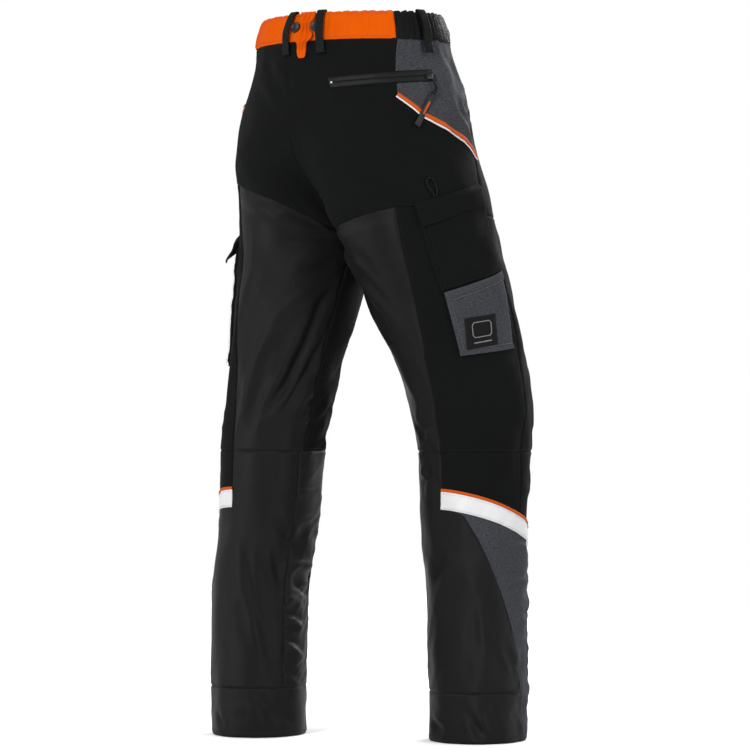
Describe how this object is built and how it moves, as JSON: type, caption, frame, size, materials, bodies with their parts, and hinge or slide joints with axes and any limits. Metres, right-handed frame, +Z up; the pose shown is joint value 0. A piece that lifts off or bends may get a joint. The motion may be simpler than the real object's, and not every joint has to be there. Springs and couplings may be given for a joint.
{
  "type": "chainsaw protective trousers",
  "caption": "Cut-protection work trousers in a walking stance, with zipped pocket, cargo pockets, reflective calf bands and knees that bend.",
  "frame": {"origin": "centre of the waist opening, level with the waistband's top edge", "axes": "+Z up, -Y the way the wearer faces, +X the wearer's left"},
  "size_m": [0.454, 0.3252, 1.0605],
  "materials": {
    "matte_black_cloth": "matt woven stretch cloth",
    "shiny_black_cloth": "smooth cloth with a slight satin shine",
    "grey_melange": "grey heather, two tones of thread",
    "orange_cloth": "high-visibility orange, fine weave",
    "black_elastic": "gathered over elastic",
    "belt_loop_cloth": "folded and stitched cloth",
    "orange_piping": "folded piping",
    "reflective_tape": "silver retroreflective tape",
    "protective_fibre": "layered long fibres, quilted",
    "lining_mesh": "thin knitted mesh",
    "zip_tape": "water-resistant coated zip tape",
    "zip_metal": "black lacquered die casting",
    "moulded_pull": "soft moulded plastic",
    "black_cord": "braided cord",
    "label_cloth": "woven label",
    "button_metal": "black lacquered, satin",
    "button_plastic": "black, satin"
  },
  "bodies": {
    "trousers": {"waistband_back": "orange_cloth", "right_waistband_elastic": "black_elastic", "left_waistband_elastic": "black_elastic", "right_waistband_front": "orange_cloth", "left_waistband_front": "orange_cloth", "belt_loops": "belt_loop_cloth", "center_back_tab": "orange_cloth", "brace_buttons": "button_plastic", "waist_button": "button_metal", "fly_zip_tape": "zip_tape", "fly_cover": "belt_loop_cloth", "rear_pocket_zip_tape": "zip_tape", "thigh_lining": "lining_mesh", "right_pocket_patch": "grey_melange", "patch_label": "label_cloth", "flap_cord_loop": "black_cord", "right_front_panel": "matte_black_cloth", "right_seat_panel": "matte_black_cloth", "right_hip_yoke": "grey_melange", "right_yoke_piping": "orange_piping", "right_front_thigh_panel": "matte_black_cloth", "right_outer_thigh_panel": "matte_black_cloth", "right_back_thigh_panel": "shiny_black_cloth", "right_inner_thigh_panel": "matte_black_cloth", "right_thigh_protective_insert": "protective_fibre", "right_cargo_pocket": "matte_black_cloth", "left_front_panel": "matte_black_cloth", "left_seat_panel": "matte_black_cloth", "left_hip_yoke": "grey_melange", "left_yoke_piping": "orange_piping", "left_front_thigh_panel": "matte_black_cloth", "left_outer_thigh_panel": "matte_black_cloth", "left_back_thigh_panel": "shiny_black_cloth", "left_inner_thigh_panel": "matte_black_cloth", "left_thigh_protective_insert": "protective_fibre", "left_cargo_pocket": "matte_black_cloth"},
    "right_shin": {"right_knee_sleeve": "shiny_black_cloth", "right_shin_front_panel": "matte_black_cloth", "right_shin_side_panel": "grey_melange", "right_calf_panel": "shiny_black_cloth", "right_kick_panel": "matte_black_cloth", "right_shin_protective_insert": "protective_fibre", "right_shin_lining": "lining_mesh", "right_reflective_band": "reflective_tape", "right_band_piping": "orange_piping"},
    "right_cargo_flap": {"right_cargo_flap": "matte_black_cloth"},
    "left_shin": {"left_knee_sleeve": "shiny_black_cloth", "left_shin_front_panel": "matte_black_cloth", "left_shin_side_panel": "grey_melange", "left_calf_panel": "shiny_black_cloth", "left_kick_panel": "matte_black_cloth", "left_shin_protective_insert": "protective_fibre", "left_shin_lining": "lining_mesh", "left_reflective_band": "reflective_tape", "left_band_piping": "orange_piping"},
    "left_cargo_flap": {"left_cargo_flap": "matte_black_cloth"},
    "fly_slider": {"fly_zip_slider": "zip_metal"},
    "rear_slider": {"rear_zip_slider": "zip_metal"},
    "rear_pull": {"rear_zip_cord": "black_cord", "rear_zip_pull_tab": "moulded_pull"}
  },
  "joints": [
    {"name": "right_knee_bend", "type": "hinge", "parent": "trousers", "child": "right_shin", "pos_m": [-0.148, -0.111, -0.633], "axis": [1, 0, 0], "range_deg": [0, 60], "deforming": ["right_knee_sleeve"]},
    {"name": "left_knee_bend", "type": "hinge", "parent": "trousers", "child": "left_shin", "pos_m": [0.128, 0.027, -0.633], "axis": [1, 0, 0], "range_deg": [0, 60], "deforming": ["left_knee_sleeve"]},
    {"name": "right_flap_lift", "type": "hinge", "parent": "trousers", "child": "right_cargo_flap", "pos_m": [-0.2077, 0.00086, -0.263], "axis": [0.1187, 0.9495, -0.2905], "range_deg": [0, 110]},
    {"name": "left_flap_lift", "type": "hinge", "parent": "trousers", "child": "left_cargo_flap", "pos_m": [0.18443, 0.03865, -0.3086], "axis": [0.1121, -0.9502, 0.2908], "range_deg": [0, 110]},
    {"name": "fly_zip", "type": "slide", "parent": "trousers", "child": "fly_slider", "axis": [0, 0, -1], "range_m": [0, 0.112]},
    {"name": "rear_zip", "type": "hinge", "parent": "trousers", "child": "rear_slider", "pos_m": [-0.0416, -0.0138, -0.099], "axis": [0.0344, 0.044, 0.9984], "range_deg": [-55, 0]},
    {"name": "rear_pull_swing", "type": "hinge", "parent": "rear_slider", "child": "rear_pull", "pos_m": [-0.17955, 0.02977, -0.09617], "axis": [0.3, 0.9539, 0], "range_deg": [0, 140]}
  ]
}
